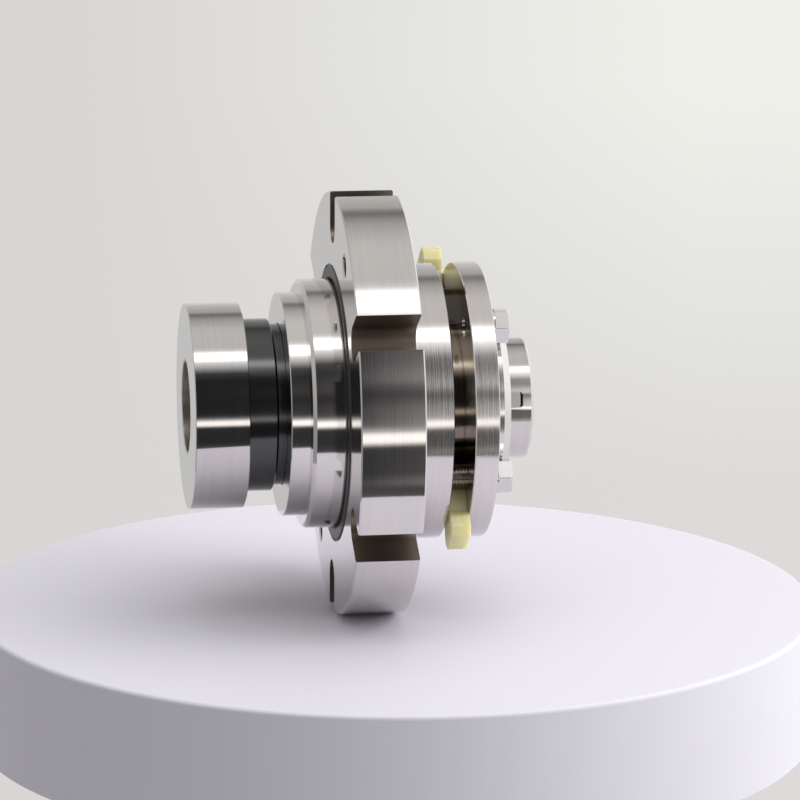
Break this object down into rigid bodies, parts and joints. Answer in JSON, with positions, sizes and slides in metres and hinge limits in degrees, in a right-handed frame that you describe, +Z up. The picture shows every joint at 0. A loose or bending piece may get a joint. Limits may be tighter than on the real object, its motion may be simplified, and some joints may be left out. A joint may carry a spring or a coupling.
{
  "type": "cartridge mechanical face seal",
  "caption": "Cartridge mechanical seal: shaft sleeve with rotating and stationary face rings, a flange with open stud slots, and a drive collar held off by setting clips.",
  "frame": {"origin": "on the shaft axis, at the flange face that meets the pump", "axes": "+X along the shaft, away from the pump; +Z up, through a stud slot"},
  "size_m": [0.1312, 0.163, 0.1624],
  "materials": {
    "turned_steel": "turned stainless steel, bright",
    "flange_steel": "turned and brushed stainless steel",
    "bolt_steel": "bright stainless steel",
    "spring_steel": "drawn spring wire",
    "dark_steel": "blackened hardened steel",
    "hard_face": "fine ground silicon carbide, black",
    "carbon_face": "machined carbon graphite, dull black",
    "o_ring_rubber": "black elastomer",
    "gasket": "dark grey gasket sheet",
    "clip_plastic": "pale yellow moulded plastic"
  },
  "bodies": {
    "gland": {"gland_plate": "flange_steel", "gland_gasket": "gasket", "anti_rotation_pins": "bolt_steel", "inboard_springs": "spring_steel", "outboard_springs": "spring_steel"},
    "rotor": {"shaft_sleeve": "turned_steel", "shaft_o_ring": "o_ring_rubber", "inboard_rotating_ring": "hard_face", "inboard_ring_o_ring": "o_ring_rubber", "inboard_drive_pins": "bolt_steel", "outboard_rotating_ring": "hard_face", "outboard_ring_o_ring": "o_ring_rubber", "outboard_drive_pins": "bolt_steel", "drive_collar": "turned_steel", "drive_keys": "bolt_steel", "collar_set_screws": "dark_steel", "setting_bolts": "bolt_steel", "lock_bolts": "bolt_steel", "spring_washers": "bolt_steel", "upper_setting_clip": "clip_plastic", "lower_setting_clip": "clip_plastic"},
    "inboard_face": {"inboard_stationary_ring": "carbon_face", "inboard_seat_o_ring": "o_ring_rubber", "inboard_thrust_ring": "bolt_steel"},
    "outboard_face": {"outboard_stationary_ring": "carbon_face", "outboard_seat_o_ring": "o_ring_rubber", "outboard_thrust_ring": "bolt_steel"}
  },
  "joints": [
    {"name": "shaft_spin", "type": "hinge", "parent": "gland", "child": "rotor", "pos_m": [0, 0, 0], "axis": [1, 0, 0], "continuous": true},
    {"name": "inboard_face_slide", "type": "slide", "parent": "gland", "child": "inboard_face", "axis": [1, 0, 0], "range_m": [0, 0.0015], "stiffness_N_per_m": 8000, "springref_m": -0.006, "deforming": ["inboard_springs"]},
    {"name": "outboard_face_slide", "type": "slide", "parent": "gland", "child": "outboard_face", "axis": [-1, 0, 0], "range_m": [0, 0.0015], "stiffness_N_per_m": 8000, "springref_m": -0.006, "deforming": ["outboard_springs"]}
  ]
}
